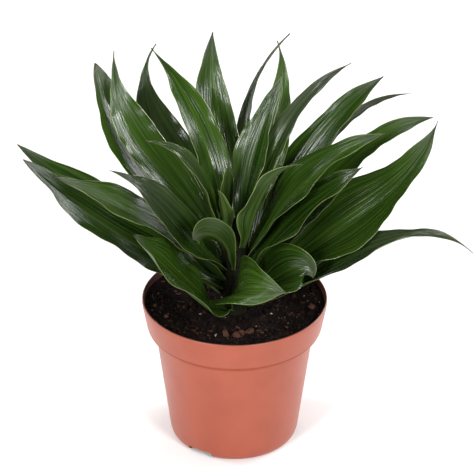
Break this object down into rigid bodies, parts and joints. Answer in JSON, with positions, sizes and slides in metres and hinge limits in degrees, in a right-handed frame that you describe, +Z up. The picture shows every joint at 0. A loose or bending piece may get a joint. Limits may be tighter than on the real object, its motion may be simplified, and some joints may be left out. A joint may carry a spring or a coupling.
{
  "type": "potted dracaena",
  "caption": "Potted dracaena: a dense rosette of broad, pointed, dark green strap leaves on a short cane, standing in dark soil in a round terracotta-coloured plastic nursery pot.",
  "frame": {"origin": "middle of the pot's underside, on the surface that the pot stands on", "axes": "+Z up along the pot's axis, +X to the viewer's right, +Y away from the viewer"},
  "size_m": [0.2912, 0.1754, 0.2571],
  "materials": {
    "pot_plastic": "satin",
    "soil_peat": "matte",
    "cane_skin": "matte",
    "leaf_green": "satin"
  },
  "bodies": {
    "root": {"pot": "pot_plastic", "soil": "soil_peat", "cane": "cane_skin", "leaf_left_low_back": "leaf_green", "leaf_left_broad": "leaf_green", "leaf_left_upper": "leaf_green", "leaf_front_left": "leaf_green", "leaf_left_inner_low": "leaf_green", "leaf_left_inner_high": "leaf_green", "leaf_back_left_low": "leaf_green", "leaf_back_left_broad": "leaf_green", "leaf_back_left_hooked": "leaf_green", "leaf_back_left_tall": "leaf_green", "leaf_back_tall": "leaf_green", "leaf_back_right_slender": "leaf_green", "leaf_back_right_tall": "leaf_green", "leaf_back_inner": "leaf_green", "leaf_back_right_arched": "leaf_green", "leaf_back_right_broad": "leaf_green", "leaf_right_slender": "leaf_green", "leaf_right_far": "leaf_green", "leaf_right_upper": "leaf_green", "leaf_right_inner": "leaf_green", "leaf_right_broad": "leaf_green", "leaf_right_low": "leaf_green", "leaf_front_curled": "leaf_green", "leaf_front_right_curled": "leaf_green", "leaf_heart_folded": "leaf_green", "leaf_heart_right": "leaf_green", "leaf_heart_spear": "leaf_green", "leaf_heart_young": "leaf_green", "leaf_rear_middle": "leaf_green", "leaf_rear_left_low": "leaf_green", "leaf_rear_left": "leaf_green", "leaf_rear_right": "leaf_green", "leaf_rear_right_low": "leaf_green", "leaf_rear_left_high": "leaf_green", "leaf_rear_high": "leaf_green"}
  },
  "joints": []
}
